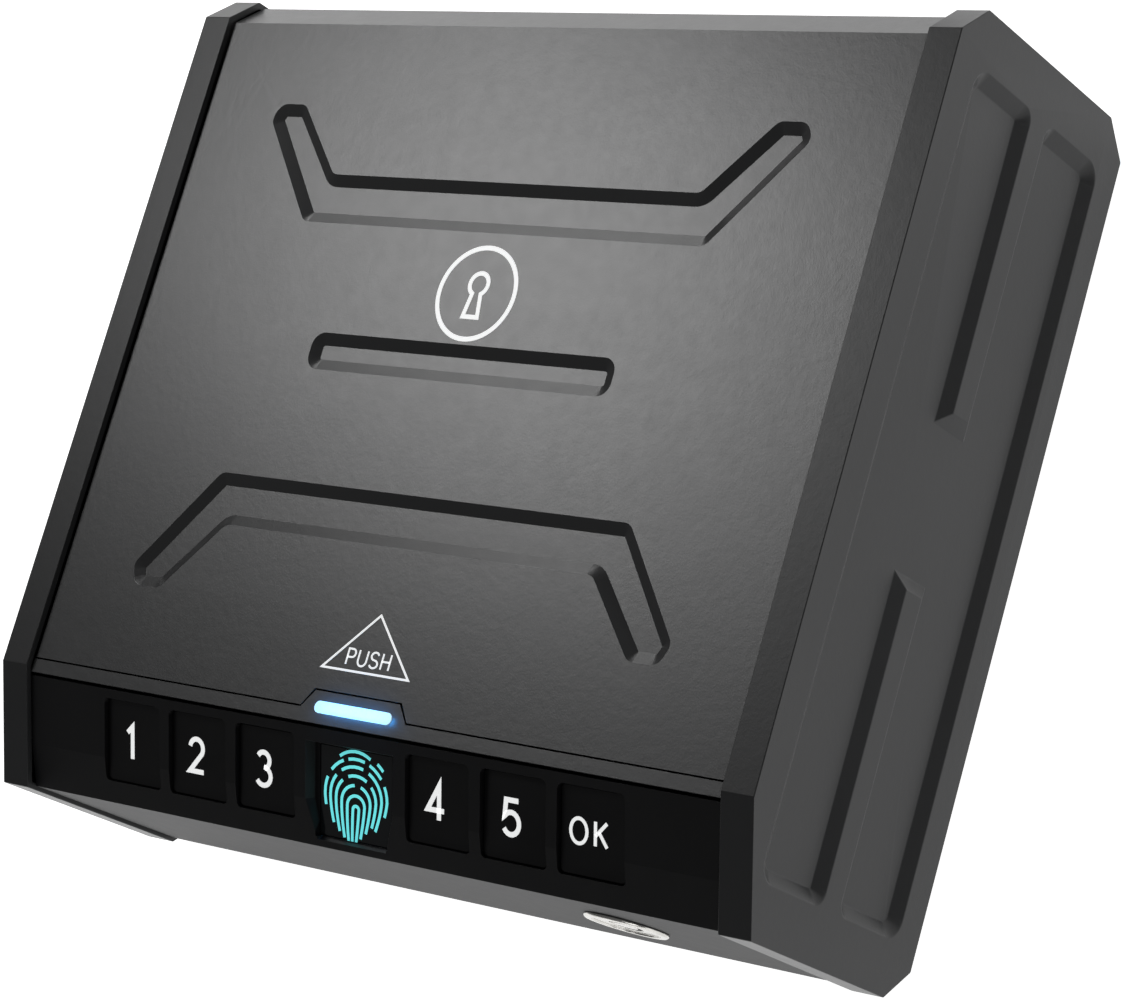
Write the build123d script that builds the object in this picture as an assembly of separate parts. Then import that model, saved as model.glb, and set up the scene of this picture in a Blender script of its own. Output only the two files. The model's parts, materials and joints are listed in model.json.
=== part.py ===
from build123d import *
import os
from math import atan2, cos, sin

# Slim pistol safe. Millimetres, +X right, +Y to the rear, +Z up.
# The origin is under the middle of the case, on the surface that the feet stand on.
os.makedirs("parts", exist_ok=True)

# ---------------------------------------------------------------- driving dimensions
WIDTH = 270.0            # over both cheeks
HALF_DEPTH = 123.3       # front and rear faces of the cheeks
TOP = 91.9               # top of the cheeks
CLEAR = 2.5              # cheeks above the ground
CHEEK_SHEET = 2.0        # pressed side sheet
FLANGE = 10.2            # width of the rim turned inwards round each cheek
RECESS_DEPTH = 2.6       # pressed H in each cheek
RECESS_RUN = 3.9         # sideways run of its sloping walls
STEP_IN = 1.2            # case walls lie this far inside the cheeks' outline
SHEET = 1.6              # case, lid and divider sheet
LID_DROP = 2.0           # lid skin below the top of the cheeks
LID_GAP = 1.0            # lid edge to cheek rim
SEAM = 0.5               # lid edge to front bezel
GROOVE_DEPTH = 1.5       # pressed grooves of the lid
GROOVE_RUN = 3.4
BEVEL_RUN = 33.0         # keypad bevel, front to back
BEVEL_DROP = 14.85       # keypad bevel, top to bottom
KEY_W, KEY_T = 21.4, 23.2
KEY_CENTRES = (-83.0, -57.2, -31.2, 31.2, 57.2, 83.0)
KEY_NAMES = ("key_1", "key_2", "key_3", "key_4", "key_5", "key_ok")
KEY_MID = 18.4           # centre of a key up the bevel
PIVOT_Y, PIVOT_Z = 117.6, 78.2
KNUCKLE_R = 3.0
PIN_R = 1.5
PIN_FIT = 0.05
LOCK_X, LOCK_Z = 74.0, 45.9
LOCK_R = 11.7
PLUG_R = 7.0
BOLT_SPACING_X, BOLT_SPACING_Y = 180.0, 120.0
BOLT_HOLE_R = 3.5
FOOT_X, FOOT_Y, FOOT_R = 108.0, 95.0, 9.0

# ---------------------------------------------------------------- worked-out places
HALF_W = WIDTH / 2
RIM_X = HALF_W - FLANGE
CASE_X = RIM_X - 0.5
CASE_IN_X = CASE_X - SHEET
BASE_Z = CLEAR + STEP_IN
FLOOR_Z = BASE_Z + SHEET
WALL_Y = HALF_DEPTH - STEP_IN
WALL_IN_Y = WALL_Y - SHEET
LID_TOP = TOP - LID_DROP
LID_UNDER = LID_TOP - SHEET
BEZEL_FRONT, BEZEL_REAR = -91.6, -87.7
TAB_REAR = -82.6
DIVIDER_Y = (-89.5, -87.9)
LID_FRONT = BEZEL_REAR + SEAM

CHEEK_OUTLINE = [
    (113.9, TOP), (HALF_DEPTH, 82.0), (HALF_DEPTH, 12.8), (114.4, CLEAR),
    (-114.5, CLEAR), (-HALF_DEPTH, 12.2), (-HALF_DEPTH, TOP - BEVEL_DROP),
    (-HALF_DEPTH + BEVEL_RUN, TOP),
]

bevel_angle = atan2(BEVEL_DROP, BEVEL_RUN)
# Plane of the keypad bevel: x along the safe, y up the slope, z out of the face.
KEYPAD = Plane(
    origin=(0, -HALF_DEPTH, TOP - BEVEL_DROP),
    x_dir=(1, 0, 0),
    z_dir=(0, -sin(bevel_angle), cos(bevel_angle)),
)


# ---------------------------------------------------------------- helpers
def box(x0, x1, y0, y1, z0, z1):
    """Box between two corners."""
    return Pos((x0 + x1) / 2, (y0 + y1) / 2, (z0 + z1) / 2) * Box(x1 - x0, y1 - y0, z1 - z0)


def side_profile(points, x0, x1):
    """Outline given as (y, z), made solid from x0 to x1."""
    face = Plane.YZ * make_face(Polyline(points, close=True))
    return Pos(x0, 0, 0) * extrude(face, amount=x1 - x0, dir=(1, 0, 0))


def rod_x(x0, x1, y, z, r):
    """Round bar along X."""
    return Pos((x0 + x1) / 2, y, z) * Rot(0, 90, 0) * Cylinder(r, x1 - x0)


def rod_y(x, y0, y1, z, r):
    """Round bar along Y."""
    return Pos(x, (y0 + y1) / 2, z) * Rot(90, 0, 0) * Cylinder(r, y1 - y0)


def rod_z(x, y, z0, z1, r):
    """Upright round bar."""
    return Pos(x, y, (z0 + z1) / 2) * Cylinder(r, z1 - z0)


def on_bevel(x0, x1, t0, t1, w0, w1, r=0.0):
    """Block in keypad coordinates: across, up the slope, out of the face."""
    block = Pos((x0 + x1) / 2, (t0 + t1) / 2, (w0 + w1) / 2) * Box(x1 - x0, t1 - t0, w1 - w0)
    if r:
        block = fillet(block.edges().filter_by(Axis.Z), r)
    return KEYPAD * block


def rounded(points, r):
    """Flat outline with every corner rounded."""
    face = make_face(Polyline(points, close=True))
    return fillet(face.vertices(), r)


def pressed(face, depth, run, kind=Kind.ARC):
    """Tapered hollow below a flat outline that lies in XY."""
    inner = offset(face, -run, kind=kind)
    return loft([face.face(), Pos(0, 0, -depth) * inner.face()], ruled=True)


def save(shape, name):
    """One STEP file for one piece, or for one group of like pieces."""
    export_step(shape, f"parts/{name}.step")


def mirror_x(shape):
    return mirror(shape, about=Plane.YZ)


# ---------------------------------------------------------------- cheeks
def inset(points, by):
    """Outline moved inwards by a constant distance."""
    return offset(make_face(Polyline(points, close=True)), -by, kind=Kind.INTERSECTION)


RECESS_Y = 108.6         # half length of the pressed H
RECESS_Z = (12.6, 80.4)
RIDGE_Z = (42.6, 50.5)   # tongues left standing at surface level
RIDGE_TIP = 24.0
RECESS_CORNER = 6.0      # outer corners of the H
ARM_CORNER = 4.2         # corners of its arms beside the tongues


def cheek():
    """Right cheek: a shallow pressed pan, open towards the middle of the safe."""
    low, high = RECESS_Z
    h_points = [
        (-RECESS_Y, low), (RECESS_Y, low), (RECESS_Y, RIDGE_Z[0]), (RIDGE_TIP, RIDGE_Z[0]),
        (RIDGE_TIP, RIDGE_Z[1]), (RECESS_Y, RIDGE_Z[1]), (RECESS_Y, high), (-RECESS_Y, high),
        (-RECESS_Y, RIDGE_Z[1]), (-RIDGE_TIP, RIDGE_Z[1]), (-RIDGE_TIP, RIDGE_Z[0]),
        (-RECESS_Y, RIDGE_Z[0]),
    ]
    outline = make_face(Polyline(CHEEK_OUTLINE, close=True))
    pan = extrude(outline, amount=-FLANGE)
    hollow = Pos(0, 0, -CHEEK_SHEET) * extrude(inset(CHEEK_OUTLINE, CHEEK_SHEET), amount=-FLANGE)
    recess_face = make_face(Polyline(h_points, close=True))
    ends = [v for v in recess_face.vertices() if abs(abs(v.X) - RECESS_Y) < 0.01]
    outer = [v for v in ends if v.Y < low + 0.01 or v.Y > high - 0.01]
    recess_face = fillet(outer, RECESS_CORNER)
    arms = [v for v in recess_face.vertices()
            if abs(abs(v.X) - RECESS_Y) < 0.01 and min(abs(v.Y - z) for z in RIDGE_Z) < 0.01]
    recess_face = fillet(arms, ARM_CORNER)
    backing = extrude(recess_face, amount=-(RECESS_DEPTH + CHEEK_SHEET))
    solid = pan - hollow + backing
    solid -= pressed(recess_face, RECESS_DEPTH, RECESS_RUN, Kind.INTERSECTION)
    # The outline was drawn in XY as (y, z); stand it up with its face towards +X.
    frame = Plane(origin=(HALF_W, 0, 0), x_dir=(0, 1, 0), z_dir=(1, 0, 0))
    return frame * solid


right = cheek()
save(right, "cheek_right")
save(mirror_x(right), "cheek_left")

STUD_SPOTS = [(-70, 25), (-70, 68), (70, 25), (70, 68)]
back_of_recess = HALF_W - RECESS_DEPTH - CHEEK_SHEET
studs = []
for y, z in STUD_SPOTS:
    stud = rod_x(CASE_X, back_of_recess, y, z, 4.0)
    studs += [stud, mirror_x(stud)]
save(Compound(studs), "cheek_studs")


# ---------------------------------------------------------------- case
def case():
    """Folded steel case: bottom, front, rear and the two inner side walls."""
    front_top, rear_top = 74.3, 72.8
    outer = [
        (WALL_Y, rear_top), (WALL_Y, 13.3), (113.9, BASE_Z), (-114.0, BASE_Z),
        (-WALL_Y, 12.7), (-WALL_Y, front_top),
    ]
    inner = [
        (WALL_IN_Y, rear_top), (WALL_IN_Y, 13.9), (113.2, FLOOR_Z), (-113.3, FLOOR_Z),
        (-WALL_IN_Y, 13.3), (-WALL_IN_Y, front_top),
    ]
    shell = side_profile(outer + inner[::-1], -CASE_X, CASE_X)
    side_points = [
        (WALL_IN_Y, rear_top), (WALL_IN_Y, 13.9), (113.2, FLOOR_Z), (-113.3, FLOOR_Z),
        (-WALL_IN_Y, 13.3), (-WALL_IN_Y, 70.5), (-90.0, 84.0), (-89.8, 87.4),
        (109.0, 87.4), (113.0, 81.0), (113.0, rear_top),
    ]
    side = side_profile(side_points, CASE_IN_X, CASE_X)
    shell = shell + side + mirror_x(side)
    for x in (-BOLT_SPACING_X / 2, BOLT_SPACING_X / 2):
        for y in (-BOLT_SPACING_Y / 2, BOLT_SPACING_Y / 2):
            shell -= rod_z(x, y, BASE_Z - 1, FLOOR_Z + 1, BOLT_HOLE_R)
    shell -= rod_y(LOCK_X, -WALL_Y - 1, -WALL_IN_Y + 1, LOCK_Z, 9.1)
    return shell


save(case(), "case")


# Front bezel: the narrow painted lip in front of the lid, with the tab that holds the lamp.
LAMP_HALF, LAMP_W, LAMP_Y = 13.9, 3.4, -87.0
TAB_WIDE, TAB_NARROW = 19.0, 15.2


def tab_outline(grow):
    return [
        (-TAB_WIDE - grow, BEZEL_REAR), (-TAB_NARROW - grow, TAB_REAR + grow),
        (TAB_NARROW + grow, TAB_REAR + grow), (TAB_WIDE + grow, BEZEL_REAR),
    ]


def lamp_slot(grow, z0, z1):
    slot = Pos(0, LAMP_Y, z0) * SlotOverall(2 * (LAMP_HALF + grow), LAMP_W + 2 * grow)
    return extrude(slot, amount=z1 - z0)


lip = box(-CASE_X, CASE_X, BEZEL_FRONT, BEZEL_REAR, LID_UNDER, LID_TOP)
tab_points = [(-TAB_WIDE, BEZEL_REAR - 1)] + tab_outline(0) + [(TAB_WIDE, BEZEL_REAR - 1)]
tab = extrude(Pos(0, 0, LID_UNDER) * make_face(Polyline(tab_points, close=True)), amount=SHEET)
save(lip + tab - lamp_slot(0.0, LID_UNDER - 1, LID_TOP + 1), "front_bezel")
save(lamp_slot(0.0, LID_UNDER, LID_TOP + 0.3), "lamp_lens")

DOOR_X, DOOR_Z = (-118.0, -6.0), (10.0, 44.0)
NOSE_X, NOSE_W, LATCH_TRAVEL = 50.0, 7.0, 8.0
NOSE_Z = (62.0, 67.0)


def divider():
    """Steel wall between the gun space and the lock space."""
    wall = box(-CASE_IN_X, CASE_IN_X, *DIVIDER_Y, FLOOR_Z, LID_UNDER)
    wall -= box(*DOOR_X, -95, -80, *DOOR_Z)
    for x in (-NOSE_X - NOSE_W, NOSE_X):
        wall -= box(x - 0.6, x + NOSE_W + LATCH_TRAVEL + 0.6, -95, -80, NOSE_Z[0] - 0.6, NOSE_Z[1] + 0.6)
    wall -= box(-16.6, 16.6, -95, -80, 83.0, 90)
    return wall


save(divider(), "divider")
save(box(-16, 16, -90.0, -84.2, 84.6, 86.2) + box(-10, 10, -88.6, -85.4, 86.2, 87.6), "lamp_board")

# ---------------------------------------------------------------- keypad
PLATEAU, CREASE_T, HEAD_T = -1.6, 13.0, 33.0
FASCIA_LOW, FASCIA_BACK = -3.0, -6.6
KEY_FACE = -3.0
SCAN_T = (2.8, 28.0)       # finger window, up the slope


def fascia():
    """Black keypad moulding: upper flat, lower slope, six pockets and the finger scoop."""
    # The foot has a step that sits on the top edge of the front wall.
    section = [(HEAD_T, PLATEAU), (CREASE_T, PLATEAU), (0.0, FASCIA_LOW), (1.6, -3.72),
               (0.78, -5.54), (3.0, FASCIA_BACK), (HEAD_T, FASCIA_BACK)]
    body = Pos(-CASE_X, 0, 0) * extrude(Plane.YZ * make_face(Polyline(section, close=True)),
                                        amount=2 * CASE_X, dir=(1, 0, 0))
    body = KEYPAD * body
    for x in KEY_CENTRES:
        body -= on_bevel(x - KEY_W / 2 - 0.4, x + KEY_W / 2 + 0.4, KEY_MID - KEY_T / 2 - 0.4,
                         KEY_MID + KEY_T / 2 + 0.4, -9, 2, 1.6)
    scoop_top = [(-16.8, 29.8), (16.8, 29.8), (16.8, 12.8), (13.2, 1.0), (-13.2, 1.0), (-16.8, 12.8)]
    scoop_floor = [(-14.8, 28.2), (14.8, 28.2), (14.8, 12.8), (12.0, 2.4), (-12.0, 2.4), (-14.8, 12.8)]
    cutter = loft([Pos(0, 0, 0.5) * make_face(Polyline(scoop_top, close=True)).face(),
                   Pos(0, 0, -4.4) * make_face(Polyline(scoop_floor, close=True)).face()], ruled=True)
    body -= KEYPAD * cutter
    body -= on_bevel(-13.1, 13.1, SCAN_T[0] - 0.1, SCAN_T[1] + 0.1, -9, 0)
    return body


save(fascia(), "fascia")

for name, x in zip(KEY_NAMES, KEY_CENTRES):
    half_w, half_t = KEY_W / 2, KEY_T / 2
    cap = on_bevel(x - half_w, x + half_w, KEY_MID - half_t, KEY_MID + half_t, -6.8, KEY_FACE, 1.4)
    collar = on_bevel(x - half_w - 1.1, x + half_w + 1.1,
                      KEY_MID - half_t - 1, KEY_MID + half_t + 1, -8.0, -6.8)
    save(cap + collar, name)

MAT_W = (-10.4, -9.2)
mat = on_bevel(-98, -18, 4.5, 31, *MAT_W)
mat += on_bevel(18, 98, 4.5, 31, *MAT_W)
mat += on_bevel(-18, 18, 4.5, 6, *MAT_W)
save(mat, "key_mat")
save(on_bevel(-100, 100, 3.5, 30.0, -12.0, -10.4), "key_board")
save(on_bevel(-13, 13, *SCAN_T, -5.8, -4.6), "scanner_window")
save(on_bevel(-12.4, 12.4, 6.2, 27.0, -10.4, -5.8), "scanner_module")

# ---------------------------------------------------------------- latch
BAR_Y, BAR_Z = (-100.0, -97.0), (58.0, 70.0)
SHELF_Z = (56.0, 57.9)
save(box(-90, 92, -116, DIVIDER_Y[0], *SHELF_Z), "latch_shelf")


def latch_bar():
    """Sliding bar with two noses that reach through the divider."""
    bar = box(-64, 84, *BAR_Y, *BAR_Z)
    for x in (-NOSE_X - NOSE_W, NOSE_X):
        bar += box(x, x + NOSE_W, BAR_Y[1], -81.0, *NOSE_Z)
    bar += box(-4, -1, -110, BAR_Y[0], 58, 68)
    return bar


save(latch_bar(), "latch_bar")
PLUNGER_Y, PLUNGER_Z, PLUNGER_R = -106.5, 62.6, 2.5
coil_box = box(-46, -16, -112, -101, SHELF_Z[1], 67)
save(coil_box - rod_x(-40, -10, PLUNGER_Y, PLUNGER_Z, PLUNGER_R + PIN_FIT), "solenoid_body")
save(rod_x(-36, -4, PLUNGER_Y, PLUNGER_Z, PLUNGER_R), "solenoid_plunger")


def striker(x):
    """Hook plate that hangs from the lid; the latch nose enters its notch from the side."""
    plate = box(x, x + 2, -86.0, -77.0, 57.0, LID_UNDER)
    plate -= box(x - 1, x + 3, -87.0, -80.2, NOSE_Z[0] - 0.8, NOSE_Z[1] + 0.8)
    foot = box(x - 6, x + 8, -86.0, -77.0, LID_UNDER - 1.6, LID_UNDER)
    return plate + foot


save(Compound([striker(-NOSE_X + 3), striker(NOSE_X + NOSE_W + 3)]), "lid_strikers")

# ---------------------------------------------------------------- override lock
ring = rod_y(LOCK_X, -HALF_DEPTH, -WALL_Y, LOCK_Z, LOCK_R)
ring = chamfer(ring.edges().group_by(Axis.Y)[0], 0.5)
dish = rod_y(LOCK_X, -130, -HALF_DEPTH + 0.5, LOCK_Z, 9.6)
bore = rod_y(LOCK_X, -130, -90, LOCK_Z, PLUG_R + PIN_FIT)
sleeve = rod_y(LOCK_X, -WALL_Y, -105.0, LOCK_Z, 9.0)
save(ring + sleeve - bore - dish, "lock_housing")
CAM_Y = (-103.6, -101.6)
plug = rod_y(LOCK_X, -HALF_DEPTH + 0.5, CAM_Y[0], LOCK_Z, PLUG_R)
plug -= rod_y(LOCK_X, -130, -117, LOCK_Z, 4.8) - rod_y(LOCK_X, -131, -116, LOCK_Z, 3.3)
plug -= box(LOCK_X - 1.0, LOCK_X + 1.0, -124, -119, LOCK_Z + 4.0, LOCK_Z + 8.0)
save(plug, "lock_plug")
nut = extrude(Plane.XZ * RegularPolygon(12.5, 6), amount=3.0)
nut = Pos(LOCK_X, -WALL_IN_Y + 3.0, LOCK_Z) * nut
save(nut - rod_y(LOCK_X, -125, -110, LOCK_Z, 9.0), "lock_nut")
cam = box(LOCK_X, LOCK_X + 18, *CAM_Y, LOCK_Z - 4, LOCK_Z + 4) + rod_y(LOCK_X, *CAM_Y, LOCK_Z, 6.5)
save(cam - rod_y(LOCK_X, -106, -100, LOCK_Z, 2.0), "lock_cam")
screw_head = rod_y(LOCK_X, CAM_Y[1], CAM_Y[1] + 1.2, LOCK_Z, 4.0)
save(rod_y(LOCK_X, *CAM_Y, LOCK_Z, 2.0) + screw_head, "cam_screw")

# ---------------------------------------------------------------- power and boards
CELL_R, CELL_LEN, CELL_Y = 7.1, 50.0, -104.3
CELLS = [(x, z) for x in (-90.0, -35.0) for z in (17.0, 33.6)]
holder = box(-119, -5, -113.2, -95, FLOOR_Z, 43.0) - box(-117.4, -6.6, -111.6, -90, 7.6, 41.4)
holder += box(-63.3, -61.7, -111.6, -95, 7.6, 41.4)
save(holder, "battery_holder")
cells = []
contacts = []
for x, z in CELLS:
    half = CELL_LEN / 2
    button = rod_x(x + half, x + half + 1.2, CELL_Y, z, 2.6)
    cells.append(rod_x(x - half, x + half, CELL_Y, z, CELL_R) + button)
    contacts.append(rod_x(x - half - 0.6, x - half - 0.1, CELL_Y, z, 5.0))
save(Compound(cells), "batteries")
save(Compound(contacts), "battery_contacts")
door = box(DOOR_X[0] + 0.3, DOOR_X[1] - 0.3, *DIVIDER_Y, DOOR_Z[0] + 0.3, DOOR_Z[1] - 0.3)
door += box(-72, -52, DIVIDER_Y[1], DIVIDER_Y[1] + 1.6, 38.0, 40.0)
save(door, "battery_door")
save(box(4, 52, -WALL_IN_Y, -WALL_IN_Y + 1.6, 16, 50), "main_board")
chips = [box(12, 26, -WALL_IN_Y + 1.6, -WALL_IN_Y + 3.6, 34, 46),
         box(32, 44, -WALL_IN_Y + 1.6, -WALL_IN_Y + 5.6, 20, 30)]
save(Compound(chips), "board_chips")
save(rod_z(40, -103, FLOOR_Z, FLOOR_Z + 8, 10.0), "buzzer")

# ---------------------------------------------------------------- lid
EDGE_SLOPE = 9.9 / 9.4   # rear bevel, drop over run
CREASE_Y, LID_END_Y = 113.0, 121.8
LID_X = RIM_X - LID_GAP


def groove_outlines():
    """Two mirrored-in-depth brackets with spread arms, and one straight slot between them."""
    rear = [(-72.0, 51.3), (72.0, 51.3), (97.0, 82.5), (94.2, 87.4), (85.0, 87.4), (66.0, 66.2),
            (-66.0, 66.2), (-85.0, 87.4), (-94.2, 87.4), (-97.0, 82.5)]
    front = [(-73.5, -25.5), (73.5, -25.5), (97.0, -55.6), (94.2, -61.6), (84.5, -61.6), (66.0, -40.5),
             (-66.0, -40.5), (-84.5, -61.6), (-94.2, -61.6), (-97.0, -55.6)]
    middle = [(-54.5, 7.5), (54.5, 7.5), (54.5, 18.5), (-54.5, 18.5)]
    return [rounded(rear, 3.8), rounded(front, 3.8), rounded(middle, 4.2)]


def lid_panel():
    """Folded lid: flat top with pressed grooves, rear bevel and side skirts."""
    drop = (LID_END_Y - CREASE_Y) * EDGE_SLOPE
    section = [
        (LID_FRONT, LID_TOP), (CREASE_Y, LID_TOP), (LID_END_Y, LID_TOP - drop),
        (LID_END_Y - 1.2, LID_TOP - drop - 1.1), (CREASE_Y - 0.6, LID_UNDER), (LID_FRONT, LID_UNDER),
    ]
    skin = side_profile(section, -LID_X, LID_X)
    for outline in groove_outlines():
        top_face = Pos(0, 0, LID_TOP) * outline
        skin += extrude(Pos(0, 0, -SHEET - GROOVE_DEPTH + 0.01) * top_face, amount=SHEET)
        skin -= pressed(top_face, GROOVE_DEPTH, GROOVE_RUN)
    notch = [(-TAB_WIDE - SEAM, LID_FRONT - 2)] + tab_outline(SEAM) + [(TAB_WIDE + SEAM, LID_FRONT - 2)]
    skin -= extrude(Pos(0, 0, LID_UNDER - 5) * make_face(Polyline(notch, close=True)), amount=10)
    skirt = box(CASE_IN_X - 2.1, CASE_IN_X - 0.5, LID_FRONT + 1, 106.0, 80.0, LID_UNDER)
    return skin + skirt + mirror_x(skirt)


save(lid_panel(), "lid_panel")
PAD_TOP = LID_UNDER - GROOVE_DEPTH
save(box(-112, 112, -72, 100, PAD_TOP - 5.0, PAD_TOP), "lid_pad")

# ---------------------------------------------------------------- hinge
KNUCKLES = 11
SPAN = 220.0
STEP = SPAN / KNUCKLES


def knuckle(index):
    x0 = -SPAN / 2 + index * STEP + 0.3
    return x0, x0 + STEP - 0.6


pin_bore = rod_x(-130, 130, PIVOT_Y, PIVOT_Z, PIN_R + PIN_FIT)
lower = box(-110, 110, 116.8, WALL_IN_Y, 64.4, 66.0) + box(-110, 110, 116.8, 118.4, 64.4, 74.6)
upper_line = [(106.0, LID_UNDER), (CREASE_Y - 0.9, LID_UNDER), (118.5, 81.4), (117.4, 80.6),
              (111.8, 86.7), (106.0, 86.7)]
upper = side_profile(upper_line, -110, 110)
for i in range(KNUCKLES):
    x0, x1 = knuckle(i)
    barrel = rod_x(x0, x1, PIVOT_Y, PIVOT_Z, KNUCKLE_R)
    if i % 2 == 0:
        lower += barrel + box(x0, x1, 116.8, 118.4, 74.0, 76.0)
        upper -= box(x0 - 0.4, x1 + 0.4, 113.6, 123, 70, 84.6)
    else:
        upper += barrel
save(lower - pin_bore, "hinge_leaf_case")
save(upper - pin_bore, "hinge_leaf_lid")
pin = rod_x(-112, 112, PIVOT_Y, PIVOT_Z, PIN_R)
save(pin, "hinge_pin")
springs = []
for side in (-1, 1):
    coil = rod_x(112.4, 120.4, PIVOT_Y, PIVOT_Z, 2.9) - rod_x(112, 121, PIVOT_Y, PIVOT_Z, 2.0)
    springs.append(coil if side > 0 else mirror_x(coil))
save(Compound(springs), "hinge_springs")

# ---------------------------------------------------------------- soft parts and feet
liner = box(-121.5, 121.5, -87.0, 112.5, FLOOR_Z, FLOOR_Z + 4.0)
for x in (-BOLT_SPACING_X / 2, BOLT_SPACING_X / 2):
    for y in (-BOLT_SPACING_Y / 2, BOLT_SPACING_Y / 2):
        liner -= rod_z(x, y, FLOOR_Z - 1, FLOOR_Z + 6, 9.0)
save(liner, "floor_liner")
feet = [rod_z(sx * FOOT_X, sy * FOOT_Y, 0, BASE_Z, FOOT_R) for sx in (-1, 1) for sy in (-1, 1)]
feet = [chamfer(foot.edges().group_by(Axis.Z)[0], 0.8) for foot in feet]
save(Compound(feet), "feet")
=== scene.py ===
import json
from math import atan2, cos, pi, radians, sin

import bmesh
import bpy
from mathutils import Matrix, Vector


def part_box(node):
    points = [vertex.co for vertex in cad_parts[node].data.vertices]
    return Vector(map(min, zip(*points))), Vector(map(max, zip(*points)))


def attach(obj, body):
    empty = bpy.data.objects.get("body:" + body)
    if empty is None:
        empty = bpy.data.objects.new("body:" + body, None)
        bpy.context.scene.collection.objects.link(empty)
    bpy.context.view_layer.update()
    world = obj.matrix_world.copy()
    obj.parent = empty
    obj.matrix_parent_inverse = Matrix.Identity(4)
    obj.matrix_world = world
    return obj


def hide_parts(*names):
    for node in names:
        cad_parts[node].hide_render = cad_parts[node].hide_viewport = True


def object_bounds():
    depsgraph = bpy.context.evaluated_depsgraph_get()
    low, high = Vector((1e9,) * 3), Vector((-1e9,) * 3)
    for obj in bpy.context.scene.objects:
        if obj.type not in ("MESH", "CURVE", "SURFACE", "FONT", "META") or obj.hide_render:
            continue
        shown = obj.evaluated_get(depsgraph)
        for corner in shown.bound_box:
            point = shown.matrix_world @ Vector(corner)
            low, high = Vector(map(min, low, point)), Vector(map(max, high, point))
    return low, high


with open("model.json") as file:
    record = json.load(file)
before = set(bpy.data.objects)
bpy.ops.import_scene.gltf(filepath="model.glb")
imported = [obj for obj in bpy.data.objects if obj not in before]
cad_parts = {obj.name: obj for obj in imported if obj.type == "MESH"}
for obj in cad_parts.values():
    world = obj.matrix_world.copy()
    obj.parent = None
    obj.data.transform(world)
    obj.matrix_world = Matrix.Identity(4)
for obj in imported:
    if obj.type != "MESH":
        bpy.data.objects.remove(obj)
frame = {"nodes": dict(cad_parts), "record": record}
CAD_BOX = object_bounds()
MM = 0.001
nodes = frame["nodes"]


# ---------------------------------------------------------------- shader helpers
class Shader:
    """A material being built: nodes are added by type and wired by name."""

    def __init__(self, name):
        self.material = bpy.data.materials.new(name)
        self.material.use_nodes = True
        self.tree = self.material.node_tree
        self.surface = self.tree.nodes["Principled BSDF"]
        self.place = self.tree.nodes.new("ShaderNodeTexCoord").outputs["Object"]

    def feed(self, socket, value):
        """Joins a socket to another one, or gives it a plain value."""
        if isinstance(value, bpy.types.NodeSocket):
            self.tree.links.new(value, socket)
        else:
            socket.default_value = value

    def add(self, kind, inputs=None, **settings):
        node = self.tree.nodes.new(kind)
        for key, value in settings.items():
            setattr(node, key, value)
        for key, value in (inputs or {}).items():
            self.feed(node.inputs[key], value)
        return node

    def noise(self, scale, detail=3.0, rough=0.55, place=None):
        """Noise with a scale in waves per metre."""
        inputs = {"Vector": place or self.place, "Scale": scale, "Detail": detail, "Roughness": rough}
        return self.add("ShaderNodeTexNoise", inputs).outputs["Fac"]

    def stretched(self, scale):
        return self.add("ShaderNodeMapping", {"Vector": self.place, "Scale": scale}).outputs["Vector"]

    def ramp(self, value, *stops):
        """Colour ramp; each stop is a position and a colour."""
        node = self.add("ShaderNodeValToRGB", {"Fac": value})
        for element, (position, color) in zip(node.color_ramp.elements, stops):
            element.position = position
            element.color = (*color, 1.0)
        return node.outputs["Color"]

    def spread(self, value, low, high):
        """Maps 0 to 1 onto low to high."""
        inputs = {"Value": value, "To Min": low, "To Max": high}
        return self.add("ShaderNodeMapRange", inputs).outputs["Result"]

    def worn_and_highlit_edges(self):
        """Mask of the sharpest outside edges, where the coat is lightened for rubbed wear and for a
        painted edge highlight.
        """
        point = self.add("ShaderNodeNewGeometry").outputs["Pointiness"]
        inputs = {"Value": point, "From Min": 0.52, "From Max": 0.62}
        return self.add("ShaderNodeMapRange", inputs).outputs["Result"]

    def mix(self, fac, a, b):
        """Mix of two colours; a may be a socket, b is a plain colour."""
        node = self.add("ShaderNodeMix", data_type="RGBA")
        fac_socket, a_socket, b_socket = (node.inputs[k] for k in (0, 6, 7))
        self.feed(fac_socket, fac)
        self.feed(a_socket, (*a, 1.0) if isinstance(a, tuple) else a)
        self.feed(b_socket, (*b, 1.0))
        return node.outputs[2]

    def set(self, **values):
        """Plain values on the shader's own sockets."""
        for key, value in values.items():
            self.surface.inputs[key.replace("_", " ")].default_value = value

    def link(self, socket, name):
        self.tree.links.new(socket, self.surface.inputs[name])

    def bump(self, height, strength, depth, below=None):
        """Bump of the given depth in metres, on top of the normal below."""
        inputs = {"Height": height, "Strength": strength, "Distance": depth}
        if below is not None:
            inputs["Normal"] = below
        normal = self.add("ShaderNodeBump", inputs).outputs["Normal"]
        self.link(normal, "Normal")
        return normal


BLACK, FULL = (0, 0, 0), (1, 1, 1)


def tint(color, by):
    return tuple(channel * by for channel in color)


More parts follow.
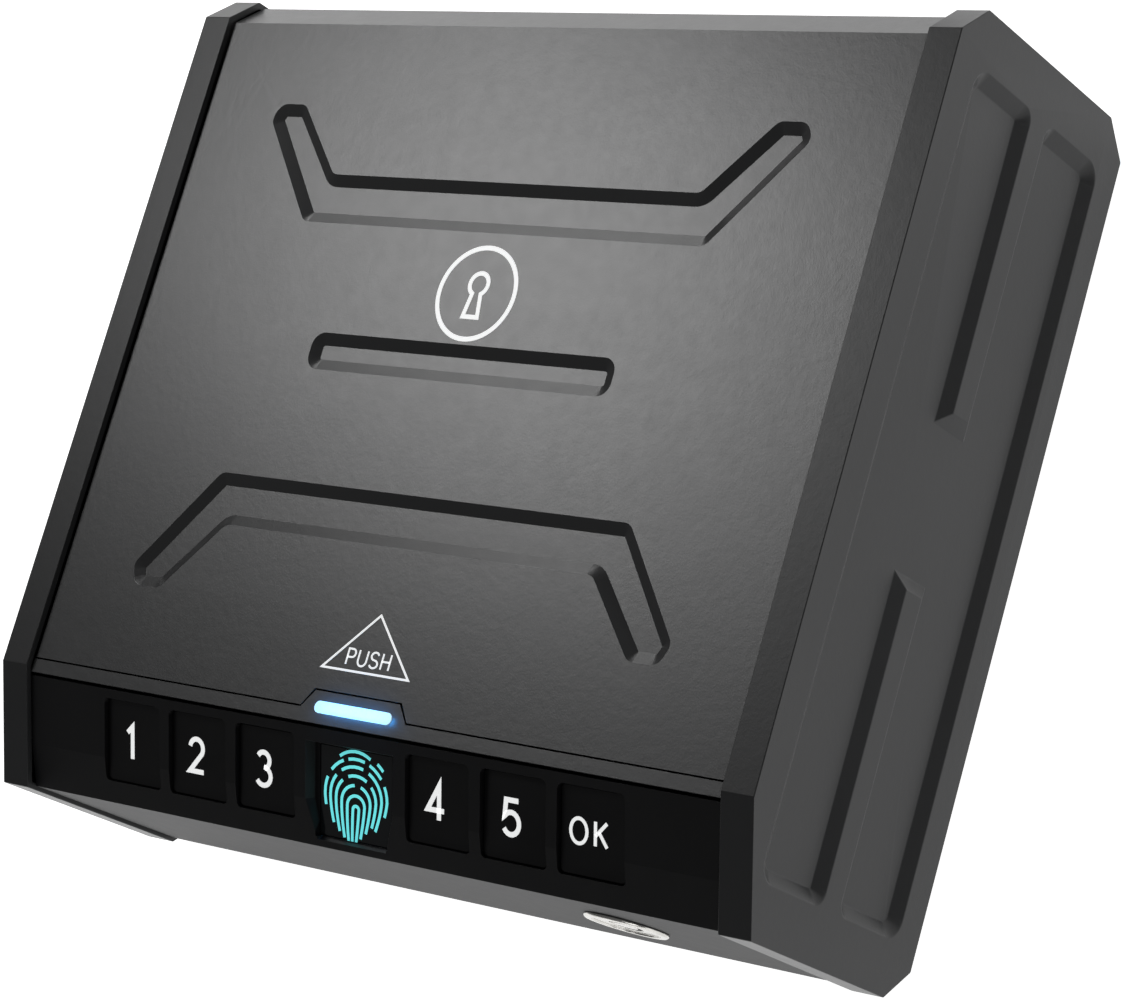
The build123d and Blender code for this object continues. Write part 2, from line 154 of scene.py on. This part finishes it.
def powder_coat(name, color, rough, specular):
    """Fine satin powder coat: orange peel, faint speckle, and sharp edges lightened, partly as rubbed
    wear and partly as a painted edge highlight.
    """
    s = Shader(name)
    cloud = s.ramp(s.noise(14.0, detail=4.0), (0.3, tint(color, 0.93)), (0.7, tint(color, 1.07)))
    speck = s.ramp(s.noise(900.0, detail=1.0), (0.62, BLACK), (0.74, FULL))
    flecked = s.mix(s.spread(speck, 0.0, 0.10), cloud, tint(color, 1.6))
    # Sharp edges get a lighter colour: partly rubbed wear, partly a painted highlight along the edges.
    s.link(s.mix(s.spread(s.worn_and_highlit_edges(), 0.0, 0.22), flecked, tint(color, 2.2)), "Base Color")
    s.link(s.spread(s.noise(240.0), rough - 0.02, rough + 0.03), "Roughness")
    peel = s.bump(s.noise(420.0, detail=2.0), strength=0.12, depth=0.2 * MM)
    s.bump(s.noise(1800.0, detail=2.0), strength=0.16, depth=0.08 * MM, below=peel)
    s.set(Specular_IOR_Level=specular)
    return s.material


def moulded(name, color, rough, grain=2600.0, strength=0.10, specular=0.5):
    """Moulded plastic, rubber or glass; grain and strength set how coarse and how deep its texture is."""
    s = Shader(name)
    s.link(s.ramp(s.noise(20.0), (0.35, tint(color, 0.85)), (0.7, tint(color, 1.2))), "Base Color")
    s.link(s.spread(s.noise(90.0, detail=4.0), rough - 0.05, rough + 0.07), "Roughness")
    s.bump(s.noise(grain, detail=2.0), strength, depth=0.1 * MM)
    s.set(Specular_IOR_Level=specular)
    return s.material


def metal(name, color, rough, stretch=(1.0, 1.0, 1.0), grain=300.0, strength=0.05):
    """Bare or plated metal; its scratches run along the axis with the smallest number in stretch."""
    s = Shader(name)
    lines = s.noise(grain, detail=4.0, rough=0.7, place=s.stretched(stretch))
    s.link(s.ramp(lines, (0.3, tint(color, 0.82)), (0.7, tint(color, 1.08))), "Base Color")
    s.link(s.spread(lines, rough - 0.05, rough + 0.1), "Roughness")
    s.bump(lines, strength, depth=0.1 * MM)
    s.set(Metallic=1.0)
    return s.material


def foam(name, color):
    """Open-cell foam."""
    s = Shader(name)
    cells = s.add("ShaderNodeTexVoronoi", {"Vector": s.place, "Scale": 1400.0}).outputs["Distance"]
    s.link(s.ramp(cells, (0.05, tint(color, 0.5)), (0.6, tint(color, 1.3))), "Base Color")
    s.set(Roughness=0.95, Sheen_Weight=0.25, Sheen_Roughness=0.6)
    s.bump(cells, strength=0.5, depth=0.5 * MM)
    return s.material


def ink(name, color, glow):
    """Printed or lit marking, which gives off a little light of its own: real light on a lit marking, a
    painted glow on a printed one.
    """
    s = Shader(name)
    s.link(s.ramp(s.noise(900.0), (0.3, tint(color, 0.92)), (0.7, color)), "Base Color")
    s.link(s.spread(s.noise(1500.0), 0.4, 0.55), "Roughness")
    s.set(Emission_Color=(*color, 1.0), Emission_Strength=glow)
    return s.material


def board(name, color):
    """Solder mask with faint copper tracks under it."""
    s = Shader(name)
    brick = s.add("ShaderNodeTexBrick", {"Vector": s.place, "Scale": 160.0, "Mortar Size": 0.03})
    tracks = brick.outputs["Fac"]
    s.link(s.mix(s.spread(tracks, 0.0, 0.5), color, tint(color, 2.2)), "Base Color")
    s.link(s.spread(s.noise(400.0), 0.3, 0.45), "Roughness")
    s.bump(tracks, strength=0.2, depth=0.1 * MM)
    return s.material


# ---------------------------------------------------------------- looks of the CAD nodes
COAT = (0.022, 0.0224, 0.0232)
LOOKS = {
    "coat": powder_coat("coat_top", COAT, rough=0.31, specular=0.5),
    "fascia_black": moulded("fascia_black", (0.003, 0.003, 0.0035), 0.42, specular=0.3),
    "key_black": moulded("key_black", (0.0026, 0.0026, 0.003), 0.34, grain=3200.0, strength=0.06,
                         specular=0.3),
    "lamp": ink("lamp", (0.58, 0.76, 0.82), glow=0.55),
    "chrome": metal("chrome", (0.66, 0.65, 0.62), 0.2, grain=90.0, strength=0.004),
    "zinc": metal("zinc", (0.52, 0.52, 0.53), 0.32, stretch=(1.0, 6.0, 6.0), strength=0.08),
    "steel": metal("steel", (0.56, 0.55, 0.54), 0.26, stretch=(1.0, 8.0, 8.0)),
    "foam": foam("foam", (0.028, 0.028, 0.03)),
    "rubber": moulded("rubber", (0.012, 0.012, 0.012), 0.8, grain=1200.0, strength=0.25),
    "scanner_glass": moulded("scanner_glass", (0.004, 0.005, 0.006), 0.12, grain=400.0, strength=0.01),
    "board": board("board", (0.01, 0.07, 0.035)),
    "chip": moulded("chip", (0.012, 0.012, 0.013), 0.5),
    "cell": moulded("cell", (0.03, 0.06, 0.16), 0.25, grain=600.0, strength=0.03),
    "holder_plastic": moulded("holder_plastic", (0.02, 0.02, 0.021), 0.5),
}
# The cheeks and the case carry the same coat with less gloss.
CHEEK_COAT = powder_coat("coat_cheek", COAT, rough=0.34, specular=0.27)
CASE_COAT = powder_coat("coat_case", COAT, rough=0.55, specular=0.2)
NODE_LOOKS = {"cheek_left": CHEEK_COAT, "cheek_right": CHEEK_COAT, "case": CASE_COAT}
NODE_SLOT = {row["node"]: row["material_slot"] for row in frame["record"]["subparts"]}

# Width in mm of the rolled edges, by slot and for single nodes.
BEVELS = {
    "coat": 0.7, "fascia_black": 0.3, "key_black": 0.5, "chrome": 0.25, "zinc": 0.15, "steel": 0.12,
    "holder_plastic": 0.3, "lamp": 0.2, "scanner_glass": 0.25,
}
NODE_BEVELS = {"cheek_left": 1.1, "cheek_right": 1.1}
WELD_GAP = 0.001 * MM
FLAT_WITHIN = radians(0.3)        # neighbours in one plane within this are one face
ROLL_FROM = radians(22.0)         # edges sharper than this are rolled
SPLIT_FROM = radians(35.0)        # on nodes without rolled edges, edges sharper than this look sharp


def dress(name, obj):
    """Gives a carried-over node its material and rolled edges."""
    slot = NODE_SLOT[name]
    for material_slot in obj.material_slots:
        material_slot.material = NODE_LOOKS.get(name, LOOKS[slot])
    if slot in BEVELS:
        obj.modifiers.new("joined_faces", "WELD").merge_threshold = WELD_GAP
        flat = obj.modifiers.new("whole_faces", "DECIMATE")
        flat.decimate_type = "DISSOLVE"
        flat.angle_limit = FLAT_WITHIN
        bevel = obj.modifiers.new("rolled_edges", "BEVEL")
        bevel.width = NODE_BEVELS.get(name, BEVELS[slot]) * MM
        bevel.segments = 3
        bevel.limit_method = "ANGLE"
        bevel.angle_limit = ROLL_FROM
        bevel.harden_normals = True
    else:
        obj.modifiers.new("edges", "EDGE_SPLIT").split_angle = SPLIT_FROM


for node_name, node_object in nodes.items():
    dress(node_name, node_object)

# ---------------------------------------------------------------- soft pads
STEPS_PER_CELL = 4
RIM_DIP = 0.4 * MM       # the waved face's border stays this far inside the pad's box


def egg_crate(name, low, high, cell, depth, side):
    """Convoluted foam: its upper (side 1) or lower (side -1) face rises and falls, the rest is flat."""
    cols, rows = (round((high[k] - low[k]) / cell) * STEPS_PER_CELL for k in (0, 1))
    flat_z, crest_z = (low[2], high[2]) if side > 0 else (high[2], low[2])

    def crest(i, j):
        wave = 0.5 - 0.5 * cos(2 * pi * i / STEPS_PER_CELL) * cos(2 * pi * j / STEPS_PER_CELL)
        inset = min(1.0, min(i, cols - i, j, rows - j) / STEPS_PER_CELL)
        return crest_z - side * (depth * wave * inset + RIM_DIP * (1 - inset))

    bm = bmesh.new()
    grids = []
    for height in (lambda i, j: flat_z, crest):
        grid = []
        for j in range(rows + 1):
            y = low[1] + (high[1] - low[1]) * j / rows
            xs = [low[0] + (high[0] - low[0]) * i / cols for i in range(cols + 1)]
            grid.append([bm.verts.new((x, y, height(i, j))) for i, x in enumerate(xs)])
        grids.append(grid)
        for near, far in zip(grid, grid[1:]):
            for i in range(cols):
                bm.faces.new((near[i], near[i + 1], far[i + 1], far[i]))
    border = [(0, i) for i in range(cols)] + [(j, cols) for j in range(rows)]
    border += [(rows, i) for i in range(cols, 0, -1)] + [(j, 0) for j in range(rows, 0, -1)]
    flat, waved = grids
    for (j0, i0), (j1, i1) in zip(border, border[1:] + border[:1]):
        bm.faces.new((flat[j0][i0], flat[j1][i1], waved[j1][i1], waved[j0][i0]))
    bmesh.ops.recalc_face_normals(bm, faces=bm.faces)
    mesh = bpy.data.meshes.new(name)
    bm.to_mesh(mesh)
    bm.free()
    mesh.shade_smooth()
    mesh.materials.append(LOOKS["foam"])
    piece = bpy.data.objects.new(name, mesh)
    bpy.context.collection.objects.link(piece)
    return piece


def foam_pad(node, body, cell, depth, side):
    """Puts egg-crate foam in the box of a plain pad."""
    low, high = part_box(node)
    piece = egg_crate(node + "_foam", low, high, cell, depth, side)
    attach(piece, body)
    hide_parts(node)


foam_pad("lid_pad", "lid", cell=14 * MM, depth=2.6 * MM, side=-1)
foam_pad("floor_liner", "safe_body", cell=13.5 * MM, depth=1.4 * MM, side=1)

# ---------------------------------------------------------------- markings
LID_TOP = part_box("front_bezel")[1][2]
INK_THICK = 0.12 * MM
SHARPEST = 0.25          # a ribbon's corner reaches at most 1 / SHARPEST half widths
# The white print gives off light though it is no lamp: a painted glow that makes it read whiter.
WHITE_PRINT_PAINTED_GLOW = ink("white_print_painted_glow", (0.85, 0.86, 0.86), glow=0.6)
CYAN = ink("cyan_light", (0.16, 0.80, 0.82), glow=0.62)

# The keypad's slope, taken from the way its keys are pressed.
press = next(j for j in frame["record"]["behaviour"]["joints"] if j["name"] == "key_1_press")
SLOPE = atan2(press["axis"][1], -press["axis"][2])
ACROSS = Vector((1.0, 0.0, 0.0))
UP_SLOPE = Vector((0.0, cos(SLOPE), sin(SLOPE)))
OUT = Vector((0.0, -sin(SLOPE), cos(SLOPE)))


def stand(centre, across, up, out):
    """Matrix that lays flat artwork on a face."""
    matrix = Matrix((across, up, out)).transposed().to_4x4()
    matrix.translation = centre
    return matrix


def ribbon_sides(points, half, closed):
    """Left and right edge of a flat ribbon along a stroke, mitred at its corners."""
    last = len(points) - 1
    left, right = [], []
    for k, point in enumerate(points):
        before = points[k - 1] if k or closed else point
        after = points[(k + 1) % len(points)] if k < last or closed else point
        arriving, leaving = point - before, after - point
        if not arriving.length:
            arriving = leaving
        if not leaving.length:
            leaving = arriving
        arriving, leaving = arriving.normalized(), leaving.normalized()
        along = (arriving + leaving).normalized()
        side = Vector((-along.y, along.x, 0))
        reach = side.dot(Vector((-arriving.y, arriving.x, 0)))
        offset = side * half / max(reach, SHARPEST)
        left.append(point + offset)
        right.append(point - offset)
    return left, right


def add_ribbon(bm, stroke, width):
    """Adds one stroke to a mesh as a thin ribbon, joined end to end if the stroke closes."""
    points = [Vector((x, y, 0)) for x, y in stroke]
    closed = (points[0] - points[-1]).length < 1e-6
    if closed:
        points.pop()
    rings = []
    for edges in zip(*ribbon_sides(points, width / 2, closed)):
        rings.append([bm.verts.new((p.x * MM, p.y * MM, z)) for z in (0.0, INK_THICK) for p in edges])
    pairs = list(zip(rings, rings[1:]))
    if closed:
        pairs.append((rings[-1], rings[0]))
    for a, b in pairs:
        for quad in ((a[1], a[0], b[0], b[1]), (a[2], a[3], b[3], b[2]),
                     (a[0], a[2], b[2], b[0]), (a[3], a[1], b[1], b[3])):
            bm.faces.new(quad)
    if not closed:
        for end in (rings[0], rings[-1]):
            bm.faces.new((end[0], end[1], end[3], end[2]))


def printed(name, strokes, width, matrix, material, body):
    """Raised print made of flat ribbons along each stroke, given as lists of (x, y) in mm."""
    bm = bmesh.new()
    for stroke in strokes:
        add_ribbon(bm, stroke, width)
    bmesh.ops.recalc_face_normals(bm, faces=bm.faces)
    mesh = bpy.data.meshes.new(name)
    bm.to_mesh(mesh)
    bm.free()
    mesh.transform(matrix)
    mesh.materials.append(material)
    piece = bpy.data.objects.new(name, mesh)
    bpy.context.collection.objects.link(piece)
    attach(piece, body)


def arc(cx, cy, rx, ry, start, end, steps=18):
    """Points of an elliptical arc, degrees anticlockwise from +X."""
    angles = [radians(start + (end - start) * k / steps) for k in range(steps + 1)]
    return [(cx + rx * cos(a), cy + ry * sin(a)) for a in angles]


def shifted(strokes, dx, dy=0.0, scale=1.0):
    """Strokes enlarged about their own middle, then moved."""
    return [[(x * scale + dx, y * scale + dy) for x, y in stroke] for stroke in strokes]


def outer_face_centre(node):
    """Middle of the face that a node turns out of the keypad's slope, found from its mesh."""
    points = [vert.co for vert in nodes[node].data.vertices]
    top = max(p.dot(OUT) for p in points)
    face = [p for p in points if p.dot(OUT) > top - 0.01 * MM]
    return sum(face, Vector()) / len(face)


# Digits and letters as single-line strokes in mm about their own middle.
GLYPHS = {
    "1": [[(-1.5, 2.6), (0.3, 4.3), (0.3, -4.3)]],
    "2": [arc(0.0, 1.9, 2.3, 2.4, 170, -35, 14) + [(-2.4, -4.2), (2.5, -4.2)]],
    "3": [arc(-0.2, 2.2, 2.1, 2.1, 150, -80, 12), arc(-0.2, -1.9, 2.5, 2.4, 85, -150, 14)],
    "4": [[(1.1, -4.3), (1.1, 4.3), (-2.6, -1.9), (2.7, -1.9)]],
    "5": [[(2.1, 4.2), (-1.7, 4.2), (-2.1, 0.2)] + arc(-0.1, -1.5, 2.5, 2.75, 140, -150, 16)],
    "O": [arc(0.0, 0.0, 2.5, 3.1, 0, 360, 24)],
    "K": [[(-1.6, 3.0), (-1.6, -3.0)], [(1.9, 3.0), (-1.5, -0.5)], [(-0.5, 0.5), (2.0, -3.0)]],
    "P": [[(-1.3, -2.2), (-1.3, 2.2), (0.2, 2.2)] + arc(0.2, 1.05, 1.15, 1.15, 90, -90, 8)
          + [(-1.3, -0.1)]],
    "U": [[(-1.5, 2.2)] + arc(0.0, -0.7, 1.5, 1.5, 180, 360, 10) + [(1.5, 2.2)]],
    "S": [arc(0.0, 1.1, 1.3, 1.1, 20, 270, 10) + arc(0.0, -1.1, 1.4, 1.1, 90, -160, 10)],
    "H": [[(-1.4, 2.2), (-1.4, -2.2)], [(1.4, 2.2), (1.4, -2.2)], [(-1.4, 0.0), (1.4, 0.0)]],
}
LEGENDS = {"key_1": "1", "key_2": "2", "key_3": "3", "key_4": "4", "key_5": "5", "key_ok": "OK"}
DIGIT_X, DIGIT_SCALE, DIGIT_STROKE = -1.4, 1.08, 1.4
O_X, K_X, OK_SCALE, OK_STROKE = -4.8, 2.3, 1.06, 0.95

for key, legend in LEGENDS.items():
    if legend == "OK":
        art = shifted(GLYPHS["O"], O_X, 0.0, OK_SCALE) + shifted(GLYPHS["K"], K_X, 0.0, OK_SCALE)
        stroke_width = OK_STROKE
    else:
        art = shifted(GLYPHS[legend], DIGIT_X, 0.0, DIGIT_SCALE)
        stroke_width = DIGIT_STROKE
    face = stand(outer_face_centre(key), ACROSS, UP_SLOPE, OUT)
    printed(key + "_legend", art, stroke_width, face, WHITE_PRINT_PAINTED_GLOW, key + "_button")

# Fingerprint symbol: nested arches whose legs close in as they fall, and two short arcs above them.
LEG_FOOT = -14.6         # height of the foot that every leg heads for
LEG_CLOSE = 0.45         # share of its half width that a leg loses on the way there
LEG_LEAN = 0.6           # how far it leans to the left on the way, in mm
LEG_CURVE = 1.6          # above 1, most of the closing comes low down
CROWN_RISE = 1.04        # height of an arch's crown over its half width
PRINT_SCALE = (1.08, 0.95)
PRINT_STROKE = 0.85
PRINT_DROP = 0.4         # how far the symbol sits below the middle of the reader's window, in mm
# Half width, height where the legs start, bottom of the left and right leg, and the crown's gaps in
# degrees. Lengths and heights are in mm before PRINT_SCALE.
ARCHES = [
    (1.0, -3.6, -13.6, -13.0, []),
    (2.9, -2.6, -13.4, -11.8, []),
    (4.8, -1.6, -12.2, -10.0, [(70, 96)]),
    (6.7, -0.8, -10.6, -8.0, [(40, 58), (112, 132)]),
    (8.6, -0.2, -8.4, -8.8, [(60, 74), (124, 140)]),
    (10.4, 0.2, -3.6, -4.2, [(24, 36), (64, 74), (104, 114), (142, 156)]),
]


def leg(half_width, side, start, end, steps=10):
    """One leg of an arch, from start down to end."""
    points = []
    for k in range(steps + 1):
        y = start + (end - start) * k / steps
        fall = (start - y) / (start - LEG_FOOT)
        points.append((side * half_width * (1 - LEG_CLOSE * fall ** LEG_CURVE) - LEG_LEAN * fall, y))
    return points


def arch(half_width, spring, left_end, right_end, gaps):
    """Strokes of one arch: its crown cut at the gaps, with a leg at each side."""
    cuts = [0] + [angle for gap in gaps for angle in gap] + [180]
    parts = []
    for start, end in zip(cuts[::2], cuts[1::2]):
        steps = max(3, round((end - start) / 10))
        parts.append(arc(0.0, spring, half_width, half_width * CROWN_RISE, start, end, steps))
    parts[0] = leg(half_width, 1, spring, right_end)[:0:-1] + parts[0]
    parts[-1] = parts[-1] + leg(half_width, -1, spring, left_end)[1:]
    return parts


ridges = [stroke for row in ARCHES for stroke in arch(*row)]
ridges += [arc(0.0, 0.2, 10.2, 13.0, 62, 122, 8), arc(0.0, 0.2, 12.2, 13.0, 42, 54, 3)]
ridges = [[(x * PRINT_SCALE[0], y * PRINT_SCALE[1]) for x, y in ridge] for ridge in ridges]
window = stand(outer_face_centre("scanner_window") - PRINT_DROP * MM * UP_SLOPE, ACROSS, UP_SLOPE, OUT)
printed("fingerprint_symbol", ridges, PRINT_STROKE, window, CYAN, "safe_body")

# Lid print: a triangle that points away from the keypad round the word PUSH, and a plain keyhole mark.
ON_LID = Matrix.Translation((0, 0, LID_TOP))
TRIANGLE_HALF, TRIANGLE_BASE, TRIANGLE_TIP, TRIANGLE_STROKE = 15.6, -75.9, -59.6, 0.6
WORD_X, WORD_Y, LETTER_STEP, WORD_STROKE = -6.3, -72.0, 4.2, 0.52
BADGE_Y, BADGE_R, BADGE_STROKE = 33.5, 13.4, 1.4
KEYHOLE_Y, KEYHOLE_R, KEYHOLE_STROKE = 36.2, 3.2, 1.3
KEYHOLE_FOOT = [(-2.6, 26.6), (2.6, 26.6)]

triangle = [(-TRIANGLE_HALF, TRIANGLE_BASE), (TRIANGLE_HALF, TRIANGLE_BASE), (0.0, TRIANGLE_TIP),
            (-TRIANGLE_HALF, TRIANGLE_BASE)]
printed("push_triangle", [triangle], TRIANGLE_STROKE, ON_LID, WHITE_PRINT_PAINTED_GLOW, "lid")
word = []
for index, letter in enumerate("PUSH"):
    word += shifted(GLYPHS[letter], WORD_X + LETTER_STEP * index, WORD_Y)
printed("push_word", word, WORD_STROKE, ON_LID, WHITE_PRINT_PAINTED_GLOW, "lid")
badge = arc(0.0, BADGE_Y, BADGE_R, BADGE_R, 0, 360, 64)
printed("badge_ring", [badge], BADGE_STROKE, ON_LID, WHITE_PRINT_PAINTED_GLOW, "lid")
keyhole = arc(0.0, KEYHOLE_Y, KEYHOLE_R, KEYHOLE_R, -62, 242, 24) + KEYHOLE_FOOT
keyhole.append(keyhole[0])
printed("badge_keyhole", [keyhole], KEYHOLE_STROKE, ON_LID, WHITE_PRINT_PAINTED_GLOW, "lid")

# ---------------------------------------------------------------- stage
FLOOR_SIZE = 12.0
bpy.ops.mesh.primitive_plane_add(size=FLOOR_SIZE, location=(0, 0, 0))
floor = bpy.context.object
floor.name = "studio_floor"
floor_look = Shader("studio_floor")
floor_look.set(Base_Color=(0.86, 0.86, 0.86, 1.0), Roughness=0.8)
# The floor gives off light too, so that it stays white behind a dark object.
floor_look.set(Emission_Color=(1.0, 1.0, 1.0, 1.0), Emission_Strength=0.97)
floor.data.materials.append(floor_look.material)

# ---------------------------------------------------------------- camera
# The camera's back faces VIEW_ROUND from the front towards the right and VIEW_UP above level. VIEW_ROLL
# tips the safe as in the photo.
VIEW_ROUND, VIEW_UP, VIEW_ROLL = radians(72.85), radians(49.255), radians(-60.846)
LENS, SENSOR = 113.65, 36.0
# The camera is placed from the crease between the cheeks' top and their rear bevel.
CREASE = Vector((0.0, 0.1139, CAD_BOX[1][2]))
CAMERA_FROM_CREASE = Vector((0.628865, -0.31451, 0.702559))

back = Vector((sin(VIEW_ROUND) * cos(VIEW_UP), -cos(VIEW_ROUND) * cos(VIEW_UP), sin(VIEW_UP)))
level = Vector((cos(VIEW_ROUND), sin(VIEW_ROUND), 0.0))
upright = back.cross(level)
right = cos(VIEW_ROLL) * level + sin(VIEW_ROLL) * upright
camera_data = bpy.data.cameras.new("camera")
camera_data.lens = LENS
camera_data.sensor_width = SENSOR
camera_data.clip_start = 0.01
camera = bpy.data.objects.new("camera", camera_data)
bpy.context.collection.objects.link(camera)
camera.matrix_world = stand(CREASE + CAMERA_FROM_CREASE, right, back.cross(right), back)
bpy.context.scene.camera = camera

# ---------------------------------------------------------------- light
world = bpy.data.worlds.new("studio")
bpy.context.scene.world = world
world.use_nodes = True
sky = world.node_tree.nodes["Background"].inputs
sky["Color"].default_value = (1.0, 1.0, 1.0, 1.0)
sky["Strength"].default_value = 0.12


def area_light(name, place, target, size, power, color=(1.0, 1.0, 1.0)):
    data = bpy.data.lights.new(name, "AREA")
    data.shape = "RECTANGLE"
    data.size, data.size_y = size
    data.energy = power
    data.color = color
    light = bpy.data.objects.new(name, data)
    bpy.context.collection.objects.link(light)
    light.location = place
    aim = Vector(target) - Vector(place)
    light.rotation_euler = aim.to_track_quat("-Z", "Y").to_euler()
    return light


# The key light stands where the lid mirrors it to the camera. The rear one lights the groove walls that
# face it.
area_light("key", (-0.64, 0.32, 0.86), (0.0, 0.03, 0.09), (0.32, 0.30), 3.2)
area_light("rear", (-0.66, 0.88, 0.52), (0.05, 0.0, 0.09), (0.34, 0.22), 1.5)
area_light("side", (1.0, 0.9, 0.35), (0.1, 0.0, 0.05), (0.5, 0.5), 1.2)
area_light("front", (0.8, -1.1, 0.6), (0.0, 0.0, 0.05), (0.9, 0.5), 3.0)

# Glow of the lamp on the metal round it.
HALO_HEIGHT, HALO_SIZE, HALO_POWER = 3 * MM, (0.024, 0.002), 0.0035
lamp_low, lamp_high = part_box("lamp_lens")
lamp_middle = [(a + b) / 2 for a, b in zip(lamp_low, lamp_high)]
halo_place = (lamp_middle[0], lamp_middle[1], lamp_high[2] + HALO_HEIGHT)
halo = area_light("lamp_halo", halo_place, lamp_middle, HALO_SIZE, HALO_POWER, (0.03, 0.36, 1.0))
halo.visible_camera = False
bpy.context.scene.view_settings.view_transform = "Standard"
